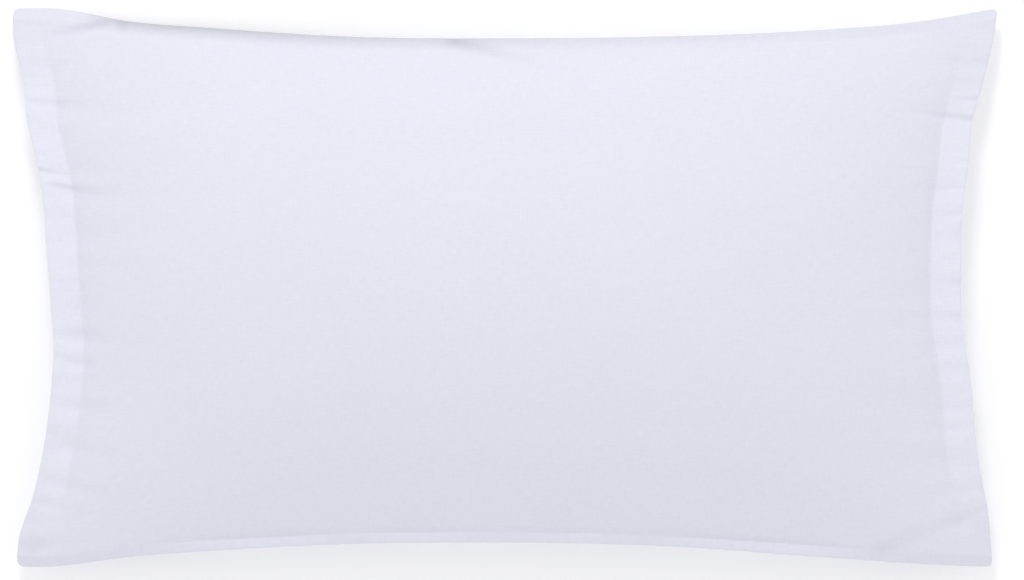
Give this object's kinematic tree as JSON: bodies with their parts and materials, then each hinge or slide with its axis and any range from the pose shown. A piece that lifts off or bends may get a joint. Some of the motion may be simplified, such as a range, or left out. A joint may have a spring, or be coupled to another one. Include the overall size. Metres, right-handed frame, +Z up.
{
  "type": "filled pillowcase",
  "caption": "White cotton pillowcase drawn tight over its pillow, lying on its back, with flat hems at both ends and soft puckers running in from them.",
  "frame": {"origin": "on the surface that the case rests on, under the middle of its box", "axes": "+X along the case from its left hem to its right one, +Y across it, +Z up out of the crowned front"},
  "size_m": [0.88, 0.5, 0.145],
  "materials": {
    "white_cotton": "thin plain-woven white cotton with a faint bluish cast, matt and slightly translucent"
  },
  "bodies": {
    "root": {"filled_case": "white_cotton"}
  },
  "joints": []
}
